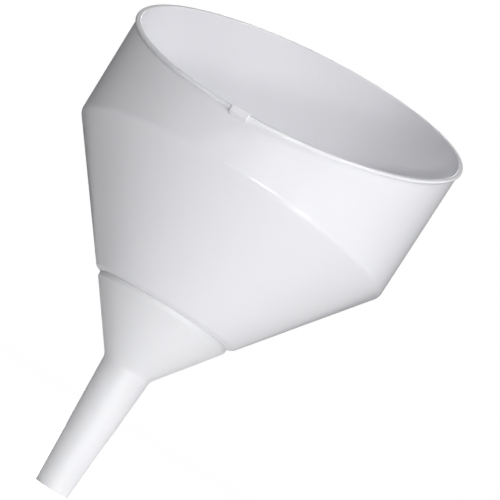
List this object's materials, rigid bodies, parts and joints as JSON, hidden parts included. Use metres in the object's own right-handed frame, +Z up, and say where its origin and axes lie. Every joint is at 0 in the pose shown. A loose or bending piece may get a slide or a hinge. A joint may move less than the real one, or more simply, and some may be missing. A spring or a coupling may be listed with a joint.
{
  "type": "canning funnel",
  "caption": "Splash-guard funnel: slanted collar, stepped cone and long tapered spout. The hopper lifts off the spout and a round strainer lifts out.",
  "frame": {"origin": "centre of the spout's tip, on the funnel's axis", "axes": "+Z up the funnel's axis towards the mouth; YZ is the mirror plane, with the mouth lowest and the lug at -Y"},
  "size_m": [0.2075, 0.2104, 0.3245],
  "materials": {
    "hopper": "white moulded polypropylene, satin gloss",
    "spout": "white moulded polypropylene, satin gloss",
    "strainer_frame": "white moulded polypropylene, satin",
    "strainer_screen": "woven stainless steel wire"
  },
  "bodies": {
    "spout": {"spout": "spout"},
    "hopper": {"hopper": "hopper"},
    "strainer": {"strainer_frame": "strainer_frame", "strainer_screen": "strainer_screen"}
  },
  "joints": [
    {"name": "hopper_lift", "type": "slide", "parent": "spout", "child": "hopper", "axis": [0, 0, 1], "range_m": [0, 0.06]},
    {"name": "strainer_lift", "type": "slide", "parent": "hopper", "child": "strainer", "axis": [0, 0, 1], "range_m": [0, 0.22]}
  ]
}
